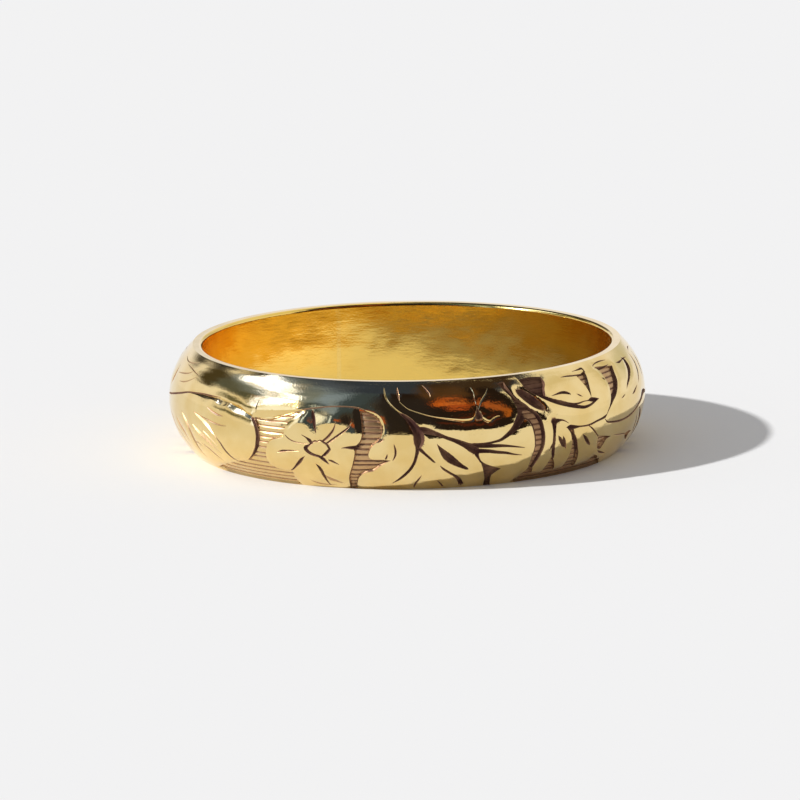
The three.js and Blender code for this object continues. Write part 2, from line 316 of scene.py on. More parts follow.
# Bright cuts are polished bevels that hold no grime.
BRIGHT_CUTS = [
    # the arch over the flower, which runs into the scroll's hook
    [(-6.85, 0.6, 0.2, 0.04), (-6.5, 0.58, 0.34, 0.04), (-6.2, 0.61, 0.36, 0.04),
     (-5.5, 0.83, 0.22, 0.04), (-5.0, 0.98, 0.12, 0.04), (-4.5, 1.13, 0.04, 0.02)],
    [(-1.8, 1.24, 0.02, 0.02), (-1.5, 1.12, 0.06, 0.02), (-1.25, 0.95, 0.1, 0.02),
     (-1.1, 0.72, 0.1, 0.02), (-1.03, 0.45, 0.08, 0.02), (-1.03, 0.25, 0.05, 0.02),
     (-1.1, 0.08, 0.02, 0.02)],
    # the stem's thin upper end
    [(-1.03, 2.25, 0.03), (-0.96, 1.9, 0.07), (-0.8, 1.6, 0.06), (-0.5, 1.3, 0.05), (-0.25, 1.12, 0.05),
     (0.05, 0.95, 0.04)],
    # the upper leaf's lobes
    [(-0.35, 1.62, 0.02), (0.0, 1.32, 0.025), (0.5, 1.12, 0.03), (1.0, 0.97, 0.035), (1.5, 0.87, 0.06),
     (2.0, 0.78, 0.1), (2.4, 0.72, 0.15), (2.7, 0.75, 0.15), (2.85, 0.88, 0.09), (2.98, 1.12, 0.04)],
    [(3.0, 1.05, 0.05), (3.12, 0.85, 0.09), (3.3, 0.68, 0.12), (3.48, 0.62, 0.12), (3.65, 0.72, 0.1),
     (3.8, 0.8, 0.06), (3.92, 0.82, 0.02)],
    [(2.83, 2.15, 0.03), (2.9, 1.9, 0.07), (2.9, 1.65, 0.05), (2.93, 1.4, 0.03), (2.98, 1.12, 0.04)],
    [(3.02, 1.15, 0.03), (3.12, 1.38, 0.06), (3.28, 1.6, 0.07), (3.45, 1.8, 0.05), (3.6, 2.05, 0.02)],
    # the bud's upper edge
    [(-12.0, 0.92, 0.03, 0.02), (-11.0, 1.05, 0.1, 0.1), (-10.3, 1.1, 0.1, 0.17), (-9.6, 1.1, 0.11, 0.14),
     (-9.0, 1.06, 0.14, 0.24), (-8.5, 1.0, 0.12, 0.17), (-8.0, 0.9, 0.15, 0.25), (-7.5, 0.75, 0.1, 0.15),
     (-7.1, 0.61, 0.1, 0.12), (-6.93, 0.52, 0.05, 0.05)],
    [(-6.88, 0.7, 0.04), (-6.85, 0.95, 0.06), (-6.84, 1.15, 0.05), (-6.78, 1.35, 0.02)],
]

# Grounds: grime on the hatching's ridges, in its valleys and at the walls, then a closed
# outline of points (u, v). A third value, SHARP, keeps a corner.
SHARP = 1
CLEAN = (0.12, 0.8, 0.3)
WORN = (0.42, 1.0, 0.85)
BROWN = (0.45, 0.95, 0.9)
DULL = (0.6, 0.9, 1.0)
BLACK = (0.95, 1.0, 1.0)
BOTTOM = -2.7  # beyond the lower edge
GROUNDS = [
    # between the bud and the flower, down to the lower edge
    (CLEAN, [(-6.93, 0.6), (-6.76, 0.3), (-6.7, 0.0), (-6.72, -0.3), (-6.82, -0.6), (-7.0, -0.9),
     (-7.25, -1.2), (-7.6, -1.42), (-8.0, -1.52), (-8.7, -1.75), (-9.5, -2.02), (-10.6, -2.45, SHARP),
     (-9.6, BOTTOM, SHARP), (-5.2, BOTTOM, SHARP), (-5.28, -2.1), (-5.22, -1.8), (-5.3, -1.64, SHARP),
     (-5.7, -1.66), (-6.1, -1.58), (-6.35, -1.35), (-6.38, -1.0), (-6.27, -0.62), (-6.1, -0.34),
     (-5.8, -0.2), (-5.42, -0.08, SHARP), (-5.35, 0.15), (-5.28, 0.4), (-5.1, 0.62), (-4.85, 0.86),
     (-4.55, 1.05, SHARP), (-5.0, 0.97), (-5.5, 0.82), (-6.1, 0.62), (-6.5, 0.58)]),
    # between the flower and the scroll's hook
    (WORN, [(-2.05, 1.22, SHARP), (-1.7, 1.18), (-1.35, 1.02), (-1.15, 0.8), (-1.05, 0.5), (-1.07, 0.2),
     (-1.18, 0.0), (-1.35, -0.15), (-1.52, -0.32), (-1.64, -0.6), (-1.62, -0.78), (-1.45, -0.86),
     (-1.1, -0.86), (-0.72, -0.9, SHARP), (-0.95, -1.02), (-1.2, -1.2), (-1.5, -1.45), (-1.85, -1.55),
     (-2.1, -1.75), (-2.25, -2.05), (-2.4, BOTTOM, SHARP), (-2.7, BOTTOM, SHARP), (-2.62, -1.9),
     (-2.5, -1.5), (-2.37, -1.15), (-2.27, -0.8), (-2.22, -0.5), (-2.28, -0.38, SHARP), (-2.15, -0.24),
     (-1.98, -0.05), (-1.9, 0.2), (-1.9, 0.45), (-1.94, 0.8), (-2.0, 1.1)]),
    # under the lower right leaf
    (BLACK, [(3.02, -0.98, SHARP), (3.25, -1.18), (3.6, -1.36), (4.08, -1.56, SHARP), (3.9, -1.68),
     (3.7, -1.88, SHARP), (3.72, -2.2), (3.85, BOTTOM, SHARP), (3.5, BOTTOM, SHARP), (3.42, -2.1),
     (3.32, -1.75), (3.2, -1.4)]),
    # beside the big leaf's tip
    (BLACK, [(4.1, 2.25, SHARP), (4.35, 1.85), (4.6, 1.5), (4.72, 1.15), (4.78, 0.85),
     (4.85, 0.68, SHARP), (5.25, 0.66, SHARP), (5.45, 0.8), (5.3, 1.08), (5.05, 1.3), (4.8, 1.48),
     (4.65, 1.75), (4.52, 2.05), (4.45, 2.3, SHARP)]),
    # the wide groove behind the lower right leaf
    (DULL, [(4.95, 0.66), (5.22, 0.52), (5.4, 0.28), (5.49, 0.0), (5.56, -0.35), (5.58, -0.7),
     (5.53, -1.05), (5.49, -1.35), (5.45, -1.7), (5.38, -2.15, SHARP), (5.66, -1.7), (5.76, -1.35),
     (5.88, -1.05), (5.97, -0.7), (5.97, -0.35), (5.92, 0.0), (5.8, 0.42), (5.6, 0.75), (5.35, 0.94),
     (5.02, 0.98, SHARP)]),
    # above the branch
    (BLACK, [(5.22, 2.3, SHARP), (5.8, 2.36), (6.42, 2.3, SHARP), (6.5, 2.0), (6.35, 1.7),
     (6.28, 1.38, SHARP), (5.95, 1.52), (5.65, 1.72), (5.35, 1.95, SHARP)]),
    (BROWN, [(8.45, 2.02, SHARP), (8.75, 2.05), (9.08, 2.15, SHARP), (9.1, 1.95), (9.02, 1.65),
     (8.93, 1.35), (8.87, 1.05), (8.84, 0.93, SHARP), (8.8, 1.15), (8.72, 1.45), (8.6, 1.7)]),
    (WORN, [(10.05, 2.2, SHARP), (10.6, 2.12), (11.45, 1.98, SHARP), (11.25, 1.65), (11.1, 1.35),
     (10.9, 1.08), (10.6, 0.82), (10.3, 0.6), (10.1, 0.45, SHARP), (10.28, 0.8), (10.36, 1.2),
     (10.34, 1.5), (10.25, 1.85), (10.12, 2.08)]),
    # below and between the low leaves
    (WORN, [(5.3, -2.0, SHARP), (6.3, -2.16), (7.3, -2.08), (8.4, -2.16), (9.3, -2.08),
     (10.4, -2.18, SHARP), (10.9, BOTTOM, SHARP), (4.9, BOTTOM, SHARP)]),
    (BROWN, [(5.55, -1.5, SHARP), (5.7, -1.8), (5.9, BOTTOM, SHARP), (5.05, BOTTOM, SHARP),
     (5.35, -1.9)]),
    (BROWN, [(6.55, -1.25, SHARP), (6.85, -1.7), (7.0, -2.1), (7.1, BOTTOM, SHARP), (6.2, BOTTOM, SHARP),
     (6.35, -1.9), (6.45, -1.55)]),
    (BROWN, [(7.35, -0.15, SHARP), (7.55, -0.15, SHARP), (7.68, -0.55), (7.85, -0.9), (8.08, -1.25),
     (8.22, -1.6), (8.3, -2.0), (8.4, BOTTOM, SHARP), (7.3, BOTTOM, SHARP), (7.5, -1.9), (7.58, -1.4),
     (7.56, -0.9), (7.45, -0.5)]),
    (BROWN, [(9.2, -0.75, SHARP), (9.6, -0.82), (10.3, -0.97, SHARP), (9.95, -1.05), (9.88, -1.2),
     (9.75, -1.5, SHARP), (9.45, -1.4), (9.28, -1.1)]),
    (BROWN, [(9.5, -1.75, SHARP), (10.0, -2.0), (10.4, BOTTOM, SHARP), (9.1, BOTTOM, SHARP),
     (9.25, -2.0)]),
    # between the small leaves at the sides
    (BROWN, [(13.35, -0.35, SHARP), (13.7, -0.6), (13.98, -1.0), (14.08, -1.5), (14.0, -2.0),
     (14.1, BOTTOM, SHARP), (13.1, BOTTOM, SHARP), (13.4, -2.0), (13.6, -1.5), (13.6, -1.0),
     (13.5, -0.65)]),
    (BROWN, [(15.1, -0.2, SHARP), (15.38, -0.5), (15.57, -0.9), (15.62, -1.4), (15.5, -1.9),
     (15.6, BOTTOM, SHARP), (14.8, BOTTOM, SHARP), (15.1, -2.0), (15.25, -1.5), (15.25, -0.95),
     (15.15, -0.55)]),
    (BROWN, [(-14.75, -1.05, SHARP), (-14.5, -1.35), (-14.4, -1.8), (-14.3, BOTTOM, SHARP),
     (-15.1, BOTTOM, SHARP), (-14.9, -2.0), (-14.8, -1.5)]),
    # past the low leaves
    (BROWN, [(11.8, -1.15, SHARP), (12.3, -1.13), (12.75, -1.22, SHARP), (12.45, -1.32),
     (12.5, -1.6, SHARP), (12.2, -1.5), (12.0, -1.35)]),
]

# Soft swellings of the surface: (u, v, reach in u, reach in v, height).
SWELLS = [
    (-4.65, 0.75, 0.5, 0.5, 0.06), (-3.1, 0.8, 0.6, 0.45, 0.1),
    (-2.1, 0.15, 0.55, 0.55, 0.03), (-2.5, -1.3, 0.6, 0.7, 0.03),
    (-4.6, -1.9, 0.6, 0.6, 0.03), (-5.9, -0.95, 0.6, 0.6, 0.03),
]


# ---------------- from points to curves


def spline(points, closed=False):
    """Points at about STEP apart on a Catmull-Rom curve through the given ones."""
    points = np.array(points, float)
    count = len(points)
    out = []
    for i in range(count if closed else count - 1):
        p1, p2 = points[i], points[(i + 1) % count]
        p0 = points[(i - 1) % count] if closed or i > 0 else p1
        p3 = points[(i + 2) % count] if closed or i + 2 < count else p2
        steps = max(1, round(float(np.hypot(*(p2 - p1)[:2])) / STEP))
        t = np.arange(steps)[:, None] / steps
        out.append(0.5 * (2 * p1 + (p2 - p0) * t + (2 * p0 - 5 * p1 + 4 * p2 - p3) * t**2
                          + (3 * p1 - p0 - 3 * p2 + p3) * t**3))
    if not closed:
        out.append(points[-1:])
    return np.concatenate(out)


def outline(points):
    """A closed outline, smooth except at its SHARP corners, which are doubled."""
    doubled = []
    for point in points:
        doubled += [point[:2]] * (2 if len(point) == 3 else 1)
    curve = spline(doubled, closed=True)
    apart = np.hypot(*(curve - np.roll(curve, 1, 0)).T) > TINY
    return curve[apart]


def stroke(points, widen=1.0):
    """A cut's centre line with its two half widths: columns u, v, left, right."""
    full = [p if len(p) == 4 else (p[0], p[1], p[2] / 2, p[2] / 2) for p in points]
    curve = spline(full)
    curve[:, 2:] = np.maximum(curve[:, 2:] * widen, THINNEST)
    return curve


grimy_strokes = [stroke(points, CUT_WIDEN) for points in CUTS]
faint_strokes = [stroke(points) for points in FAINT_CUTS]
bright_strokes = [stroke(points) for points in BRIGHT_CUTS]
grounds = [outline(points) for tone, points in GROUNDS]
ground_tones = [tone for tone, points in GROUNDS]
light_grounds = [g for g, tone in zip(grounds, ground_tones) if tone in (CLEAN, WORN)]

rng = np.random.default_rng(7)
valleys = np.arange(-HALF_ARC + HATCH_PITCH / 2, HALF_ARC, HATCH_PITCH)
valleys += rng.uniform(-HATCH_WANDER, HATCH_WANDER, len(valleys))
hatch_lines = np.sort(np.concatenate([valleys + k * HATCH_WIDTH / 2 for k in (-1, 0, 1)]))
hatch_depths = np.tile([0, HATCH_DEPTH, 0], len(valleys))


def random_wave():
    """(waves round the band, radians in a millimetre across it, phase)"""
    waves_round = int(rng.integers(-MOST_WAVES_ROUND, MOST_WAVES_ROUND + 1))
    return waves_round, rng.uniform(*WAVES_ACROSS), rng.uniform(*WAVE_PHASES)


waves = [random_wave() for _ in range(WAVE_COUNT)]


# ---------------- how deep it is where


def stretches(strokes, closed=False):
    """Every stretch of every line as a row: u, v and half widths at its start, then its end."""
    rows = [np.zeros((0, 8))]
    for s in strokes:
        ends = np.roll(s, -1, 0) if closed else s[1:]
        rows.append(np.hstack([s[:len(ends)], ends]))
    return np.concatenate(rows)


def edge_stretches(outlines):
    """The stretches of closed outlines, as lines of no width."""
    return stretches([np.hstack([g, np.zeros_like(g)]) for g in outlines], closed=True)


GRIMY = stretches(grimy_strokes)
FAINT = stretches(faint_strokes)
BRIGHT = stretches(bright_strokes)
EDGES = edge_stretches(grounds)
LIGHT_EDGES = edge_stretches(light_grounds)


def near_stretches(table, low, high):
    """The stretches that can reach a box of the drawing."""
    reach = table[:, [2, 3, 6, 7]].max(1) + SHOULDER_REACH
    lowest = np.minimum(table[:, 0:2], table[:, 4:6]) - reach[:, None]
    highest = np.maximum(table[:, 0:2], table[:, 4:6]) + reach[:, None]
    return table[(lowest < high).all(1) & (highest > low).all(1)]


def cells_of(points):
    """The points sorted into squares of the drawing: (low corner, which points)."""
    cells = np.floor(points / CELL).astype(int)
    keys = cells[:, 0] * CELL_KEYS + cells[:, 1]
    order = np.argsort(keys, kind="stable")
    starts = np.flatnonzero(np.diff(keys[order], prepend=keys[order][:1] - 1))
    for chosen in np.split(order, starts[1:]):
        yield cells[chosen[0]] * CELL, chosen


def cut_depth(points, table, least_shoulder=0):
    """At points of one repeat: (depth of the cuts, depth of the rounded shoulders beside
    them as a share of SHOULDER_DEPTH)."""
    depth, shoulder = np.zeros(len(points)), np.zeros(len(points))
    for low, chosen in cells_of(points):
        s = near_stretches(table, low, low + CELL)
        if not len(s):
            continue
        p = points[chosen][:, None, :]
        a, along = s[:, 0:2], s[:, 4:6] - s[:, 0:2]
        length2 = np.maximum((along**2).sum(1), TINY**2)
        t = (((p - a) * along).sum(2) / length2).clip(0, 1)
        away = p - a - t[..., None] * along
        on_left = along[:, 0] * away[..., 1] - along[:, 1] * away[..., 0] > 0
        left = s[:, 2] + t * (s[:, 6] - s[:, 2])
        right = s[:, 3] + t * (s[:, 7] - s[:, 3])
        half = np.where(on_left, left, right)
        distance = np.sqrt((away**2).sum(2))
        middle = CUT_SLOPE * (half + np.minimum(left, right)) / 2
        inside = middle * (1 - distance / np.maximum(half, TINY))
        depth[chosen] = np.minimum(inside.max(1).clip(0), CUT_DEPTH)
        size = np.maximum((half / FULL_SHOULDER).clip(0, 1), least_shoulder)
        beside = size * (1 - (distance - half).clip(0) / SHOULDER_REACH).clip(0) ** 2
        shoulder[chosen] = beside.max(1)
    return depth, shoulder


def inside_outline(points, g):
    """(whether each point is inside an outline, its distance from it)"""
    p, a, b = points[:, None, :], g, np.roll(g, -1, 0)
    crosses = (a[:, 1] > p[..., 1]) != (b[:, 1] > p[..., 1])
    rise = np.where(b[:, 1] == a[:, 1], TINY, b[:, 1] - a[:, 1])
    at = a[:, 0] + (p[..., 1] - a[:, 1]) * (b[:, 0] - a[:, 0]) / rise
    inside = (crosses & (p[..., 0] < at)).sum(1) % 2 == 1
    t = (((p - a) * (b - a)).sum(2) / ((b - a) ** 2).sum(1)).clip(0, 1)
    distance = np.sqrt(((p - a - t[..., None] * (b - a)) ** 2).sum(2)).min(1)
    return inside, distance


def ground_depth(points):
    """At points of one repeat: (depth of the hatched ground, grime held by it)."""
    depth, grime = np.zeros(len(points)), np.zeros(len(points))
    for g, (on_ridge, in_valley, at_wall) in zip(grounds, ground_tones):
        near = np.flatnonzero(((points > g.min(0)) & (points < g.max(0))).all(1))
        for part in np.array_split(near, len(near) // CHUNK + 1):
            inside, distance = inside_outline(points[part], g)
            valley = np.interp(points[part, 1], hatch_lines, hatch_depths)
            here = np.minimum(distance * GROUND_SLOPE, GROUND_DEPTH + valley)
            held = on_ridge + (in_valley - on_ridge) * valley / HATCH_DEPTH
            held = np.maximum(held, at_wall * (1 - distance / WALL_GRIME).clip(0, 1))
            deeper = inside & (here >= depth[part])
            depth[part] = np.where(deeper, here, depth[part])
            grime[part] = np.where(deeper, held, grime[part])
    return depth, grime


def relief(u, v):
    """(height of the surface over the plain dome in millimetres, grime from 0 to 1, which in two faint
    cuts is painted shade).
    """
    points = np.stack([(u + REPEAT / 2) % REPEAT - REPEAT / 2, v], 1)
    depth, shoulder = cut_depth(points, GRIMY)
    faint_depth, faint_shoulder = cut_depth(points, FAINT)
    bright_depth, bright_shoulder = cut_depth(points, BRIGHT)
    edge_shoulder = np.maximum(cut_depth(points, EDGES, KEEN_SHOULDER)[1],
                               cut_depth(points, LIGHT_EDGES, ROUND_SHOULDER)[1])
    shoulder = np.max([shoulder, faint_shoulder, bright_shoulder, edge_shoulder], 0)
    floor, floor_grime = ground_depth(points)
    # the faint cuts beside the flower's lowest petal hold grime as painted shade
    faint_grime_and_shade = FAINT_GRIME_AND_SHADE * (faint_depth / GRIME_AT).clip(0, 1)
    grime = np.max([(depth / GRIME_AT).clip(0, 1), faint_grime_and_shade, floor_grime], 0)
    depth = np.max([depth, faint_depth, bright_depth, floor], 0)
    height = np.zeros(len(points))
    for n, k, phase in waves:
        height += WAVE_SLOPE / len(waves) ** 0.5 / k * (np.sin(n * u / OUTER + k * v + phase) - 1)
    for su, sv, reach_u, reach_v, rise in SWELLS:
        away = ((points[:, 0] - su) / reach_u) ** 2 + ((points[:, 1] - sv) / reach_v) ** 2
        height += rise * np.exp(-away)
    return height - SHOULDER_DEPTH * shoulder - depth, grime


# ---------------- the drawing's lines


def shifted(curve, low, high):
    """Copies of a curve, one for each repeat of the pattern that meets low to high in u."""
    first = math.floor((low - curve[:, 0].max()) / REPEAT)
    last = math.ceil((high - curve[:, 0].min()) / REPEAT)
    for n in range(first, last + 1):
        moved = curve.copy()
        moved[:, 0] += n * REPEAT
        if moved[:, 0].max() > low and moved[:, 0].min() < high:
            yield moved


def cut_lines(s):
    """A cut's edges, its centre line, and the edges of its flat bottom if it is wide."""
    along = np.gradient(s[:, :2], axis=0)
    left = np.stack([-along[:, 1], along[:, 0]], 1) / np.hypot(*along.T)[:, None]
    yield s[:, :2]
    for side, column in ((1, 2), (-1, 3)):
        yield s[:, :2] + side * left * s[:, column:column + 1]
        narrower = s[:, 2:4].min(1)
        middle = CUT_SLOPE * (s[:, column] + narrower) / 2
        flat = s[:, column] * (1 - CUT_DEPTH / np.maximum(middle, TINY))
        wide = flat > NARROW_BOTTOM
        if wide.sum() > 2:
            yield (s[:, :2] + side * left * flat[:, None])[wide]


def ground_lines(g):
    """A ground's outline, the foot of its wall, and its hatching."""
    yield np.vstack([g, g[:1]])
    along = np.roll(g, -1, 0) - np.roll(g, 1, 0)
    inward = np.stack([-along[:, 1], along[:, 0]], 1) / np.hypot(*along.T)[:, None]
    area = (g[:, 0] * np.roll(g[:, 1], -1) - np.roll(g[:, 0], -1) * g[:, 1]).sum()
    foot = g + math.copysign(GROUND_DEPTH / GROUND_SLOPE, area) * inward
    yield np.vstack([foot, foot[:1]])
    a, b = g, np.roll(g, -1, 0)
    for level in hatch_lines:
        crosses = (a[:, 1] > level) != (b[:, 1] > level)
        at = a[crosses, 0] + (level - a[crosses, 1]) * (b - a)[crosses, 0] / (b - a)[crosses, 1]
        for start, end in np.sort(at).reshape(-1, 2):
            steps = max(2, math.ceil((end - start) / HATCH_STEP))
            us = np.linspace(start, end, steps)
            yield np.stack([us, np.full(steps, level)], 1)


def drawing_lines(low, high):
    """All the lines that the mesh has to follow between low and high in u."""
    for s in grimy_strokes + faint_strokes + bright_strokes:
        for copy in shifted(s, low, high):
            yield from cut_lines(copy)
    for g in grounds:
        for copy in shifted(g, low, high):
            yield from ground_lines(copy)


def clipped_lines(low, high):
    """The same lines without what lies past low, high or the dome's edges."""
    for line in drawing_lines(low, high):
        inside = (line[:, 0] > low) & (line[:, 0] < high)
        inside &= np.abs(line[:, 1]) < HALF_ARC - RIM_GAP
        for run in np.split(np.arange(len(line)), np.flatnonzero(np.diff(inside)) + 1):
            if inside[run[0]] and len(run) > 1:
                yield line[run]


# ---------------- the wrapped surface


def dome(u, v, height):
    """Points of the outside, in millimetres, height over the plain dome."""
    turn, tilt = u / OUTER, v / DOME_RADIUS
    r = DOME_CENTRE + (DOME_RADIUS + height) * np.cos(tilt)
    z = HALF_WIDTH + (DOME_RADIUS + height) * np.sin(tilt)
    return np.stack([r * np.sin(turn), -r * np.cos(turn), z], -1)


def dome_normals(u, v, slope_u, slope_v):
    """Normals of the outside where it slopes by so much along u and v."""
    turn, tilt = u / OUTER, v / DOME_RADIUS
    r = DOME_CENTRE + DOME_RADIUS * np.cos(tilt)
    zero = np.zeros_like(u)
    out = np.stack([np.cos(tilt) * np.sin(turn), -np.cos(tilt) * np.cos(turn), np.sin(tilt)], -1)
    east = np.stack([np.cos(turn), np.sin(turn), zero], -1)
    up = np.stack([-np.sin(tilt) * np.sin(turn), np.sin(tilt) * np.cos(turn), np.cos(tilt)], -1)
    n = out - (slope_u * OUTER / r)[:, None] * east - slope_v[:, None] * up
    return n / np.linalg.norm(n, axis=1)[:, None]


def triangulate(low, high, columns):
    """The drawing between low and high in u as triangles: (points, triangles)."""
    rows = np.linspace(-HALF_ARC, HALF_ARC, round(2 * HALF_ARC / GRID) + 1)
    points, edges = [], []

    def add_line(line):
        first = len(points)
        points.extend(line)
        edges.extend((first + i, first + i + 1) for i in range(len(line) - 1))

    for line in clipped_lines(low - MARGIN, high + MARGIN):
        add_line(line)
    cell = GRID / 2  # a point of the grid is left out where a line has one in the same cell
    taken = {tuple(c) for c in np.floor(np.array(points) / cell).astype(int)}
    for v in (rows[0], rows[-1]):
        add_line([(u, v) for u in columns])
    for u in (low, high):
        add_line([(u, v) for v in rows])
    for j, v in enumerate(rows[1:-1]):
        shift = STAGGER if j % 2 else -STAGGER
        for u in columns[1:-1] + shift * (columns[1] - columns[0]):
            if (math.floor(u / cell), math.floor(v / cell)) not in taken:
                points.append((u, v))
    made = delaunay_2d_cdt([Vector(p) for p in points], edges, [], 0, TINY, False)
    flat = np.array([tuple(p) for p in made[0]])
    triangles = np.array(made[2])
    centres = flat[triangles].mean(1)
    triangles = triangles[(centres[:, 0] > low) & (centres[:, 0] < high)]
    used, triangles = np.unique(triangles, return_inverse=True)
    return flat[used], triangles.reshape(-1, 3)


def corner_values(flat, triangles):
    """A normal and the grime for each triangle's corners, with the cuts' edges kept sharp."""
    corners = flat[triangles]
    middles = corners.mean(1, keepdims=True)
    u, v = (corners + CORNER_INSET * (middles - corners)).reshape(-1, 2).T
    here, grime = relief(u, v)
    slope_u = (relief(u + SLOPE_STEP, v)[0] - here) / SLOPE_STEP
    slope_v = (relief(u, v + SLOPE_STEP)[0] - here) / SLOPE_STEP
    u, v = corners.reshape(-1, 2).T
    return dome_normals(u, v, slope_u, slope_v), grime


def inside_section():
    """The section from the dome's upper edge over the rims and down the hole to its lower
    edge: points (r, z) and the two end normals of each stretch between them."""
    edge = RIM_INNER - INNER
    points, normals = [(RIM_OUTER, WIDTH)], []

    def line_to(r, z, n):
        points.append((r, z))
        normals.append((n, n))

    def quarter_round(centre_z, start):
        for i in range(INNER_EDGE_STEPS):
            ends = [start + math.pi / 2 * k / INNER_EDGE_STEPS for k in (i, i + 1)]
            r, z = edge * math.cos(ends[1]), edge * math.sin(ends[1])
            points.append((RIM_INNER + r, centre_z + z))
            normals.append(tuple((math.cos(a), math.sin(a)) for a in ends))

    line_to(RIM_INNER, WIDTH, (0, 1))
    quarter_round(WIDTH - edge, math.pi / 2)
    for k in range(1, HOLE_STEPS + 1):
        line_to(INNER, WIDTH - edge - (WIDTH - 2 * edge) * k / HOLE_STEPS, (-1, 0))
    quarter_round(edge, math.pi)
    line_to(RIM_OUTER, 0, (0, -1))
    return points, normals


def edge_row(flat, axis, value):
    """The points on one edge of the flat drawing, in order along it."""
    row = np.flatnonzero(np.abs(flat[:, axis] - value) < ON_EDGE)
    return row[np.argsort(flat[row, 1 - axis])]


def add_object(name, data):
    thing = bpy.data.objects.new(name, data)
    bpy.context.scene.collection.objects.link(thing)
    return thing


def swept_inside(flat, columns):
    """The rims and the hole: (points, rows of point numbers from edge to edge, faces, normals)."""
    turns = columns / OUTER
    across = np.stack([np.sin(turns), -np.cos(turns)], 1)

    def swept(r, z):
        return np.hstack([r * across, np.full((len(columns), 1), z)])

    section, section_normals = inside_section()
    points = [swept(r, z) for r, z in section[1:-1]]
    numbers = len(flat) + np.arange(len(points) * len(columns)).reshape(-1, len(columns))
    rows = [edge_row(flat, 1, HALF_ARC), *numbers, edge_row(flat, 1, -HALF_ARC)]
    faces, normals = [], []
    for a, b, ends in zip(rows, rows[1:], section_normals):
        n, m = (swept(*end) for end in ends)
        faces += np.stack([a[:-1], a[1:], b[1:], b[:-1]], 1).tolist()
        normals.append(np.stack([n[:-1], n[1:], m[1:], m[:-1]], 1).reshape(-1, 3))
    return points, rows, faces, normals


def end_walls(flat, rows, low, high):
    """The two flat ends of a piece: (faces, normals)."""
    faces, normals = [], []
    for u, column, sign in ((low, 0, -1), (high, -1, 1)):
        wall = edge_row(flat, 0, u).tolist() + [int(row[column]) for row in rows[1:-1]]
        faces.append(wall[::-1] if sign > 0 else wall)
        outward = sign * np.array([math.cos(u / OUTER), math.sin(u / OUTER), 0])
        normals.append(np.tile(outward, (len(wall), 1)))
    return faces, normals


def engraved_piece(name, low, high):
    """A closed solid of the band between low and high in u, engraved on its outside."""
    columns = np.linspace(low, high, max(2, round((high - low) / GRID)) + 1)
    flat, triangles = triangulate(low, high, columns)
    u, v = flat.T
    edge_fade = ((HALF_ARC - np.abs(v)) / RIM_FADE).clip(0, 1)
    outside = dome(u, v, relief(u, v)[0] * edge_fade)
    outside_normals, grime = corner_values(flat, triangles)
    inside, rows, inside_faces, inside_normals = swept_inside(flat, columns)
    wall_faces, wall_normals = end_walls(flat, rows, low, high)

    mesh = bpy.data.meshes.new(name)
    mesh.from_pydata(np.concatenate([outside, *inside]) * MM, [],
                     triangles.tolist() + inside_faces + wall_faces)
    normals = np.concatenate([outside_normals, *inside_normals, *wall_normals])
    mesh.normals_split_custom_set(normals)
    held, inner = np.zeros((2, len(mesh.loops)), np.float32)
    held[:len(grime)] = grime
    inner[len(grime) + OUTSIDE_STRETCHES * 4 * (len(columns) - 1):] = 1
    for attribute, values in (("grime", held), ("inside", inner)):
        mesh.attributes.new(attribute, "FLOAT", "CORNER").data.foreach_set("value", values)
    return add_object(name, mesh)


# ---------------- materials

POLISHED_ROUGHNESS = (0.05, 0.1)  # from the brightest places to the most worn
INSIDE_ROUGHER = 0.06  # the finger rubs the inside to a softer shine
GRIME_ROUGHER = 0.75
GRIME_METALLIC = 0.85

HALF_DIRTY = 0.5  # grime up to here stains the gold, and from here on hides it
THIN_GRIME = 0.85  # the thinnest patches of grime count this much

# Patchy noises: (cycles in a metre, detail, value where the patches begin, and are full)
GRIME_PATCHES = (1500, 3, 0.3, 0.65)
TARNISH_PATCHES = (650, 6, 0.4, 0.65)
WORN_PATCHES = (700, 4, 0.35, 0.7)

# Noises of the finest relief, and how deep they are in metres, with the bump's strength
SCRATCHES, SCRATCH_RELIEF = (1300, 7, (1, 1, 6)), (0.00001, 0.3)  # drawn out round the band
GRAIN, GRAIN_RELIEF = (12000, 2), (0.000005, 0.5)
UNEVEN, UNEVEN_RELIEF = (420, 2), (0.00007, 1.0)  # inside only


